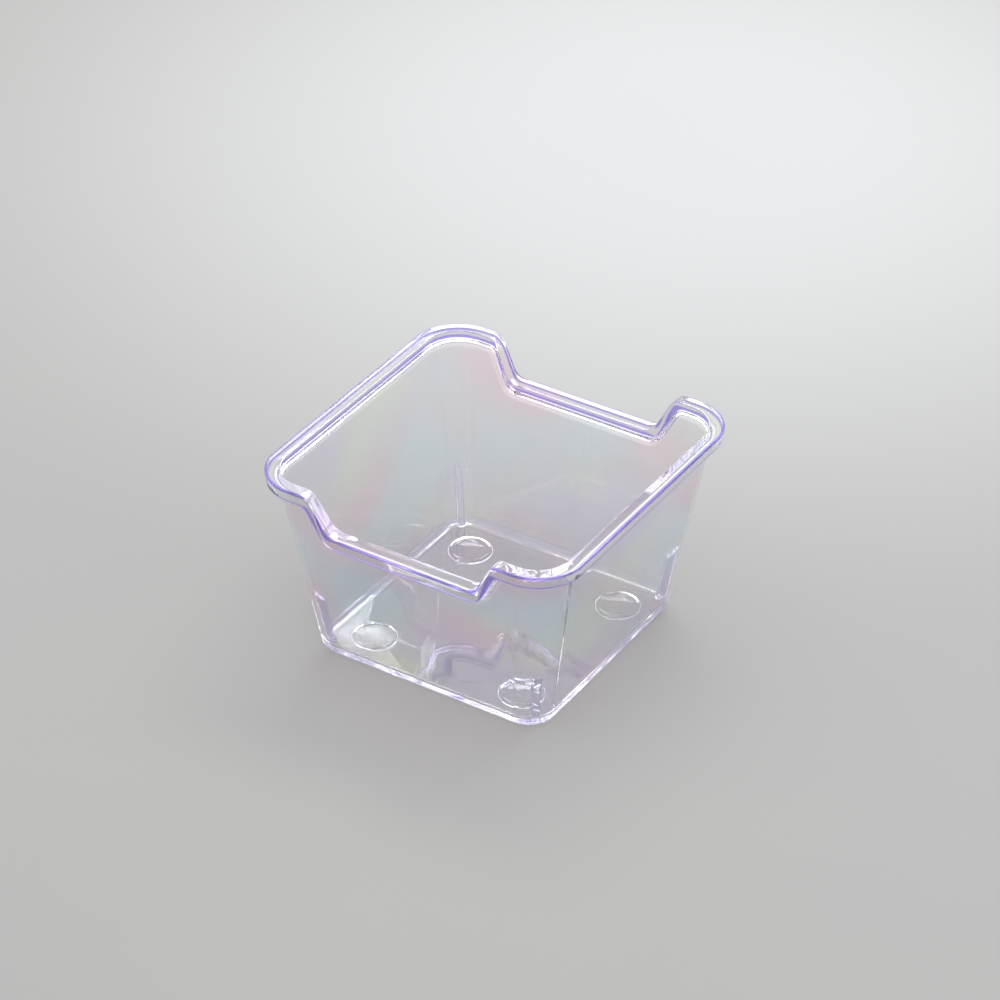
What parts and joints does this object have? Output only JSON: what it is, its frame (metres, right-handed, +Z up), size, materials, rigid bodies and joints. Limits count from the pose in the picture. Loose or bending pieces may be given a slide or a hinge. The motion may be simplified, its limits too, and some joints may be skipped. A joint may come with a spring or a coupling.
{
  "type": "washi tape drawer box",
  "caption": "Clear open-top box with drafted walls, rounded corners, a turned-out rim, a low dip front and back, inside corner fins and round feet, for tape and small craft supplies.",
  "frame": {"origin": "middle of the footprint, on the surface that the feet stand on", "axes": "+Z up, +X to the box's right side, -Y towards the front dip"},
  "size_m": [0.0998, 0.0998, 0.061],
  "materials": {
    "clear_plastic": "clear polished polystyrene"
  },
  "bodies": {
    "root": {"drawer_box": "clear_plastic"}
  },
  "joints": []
}
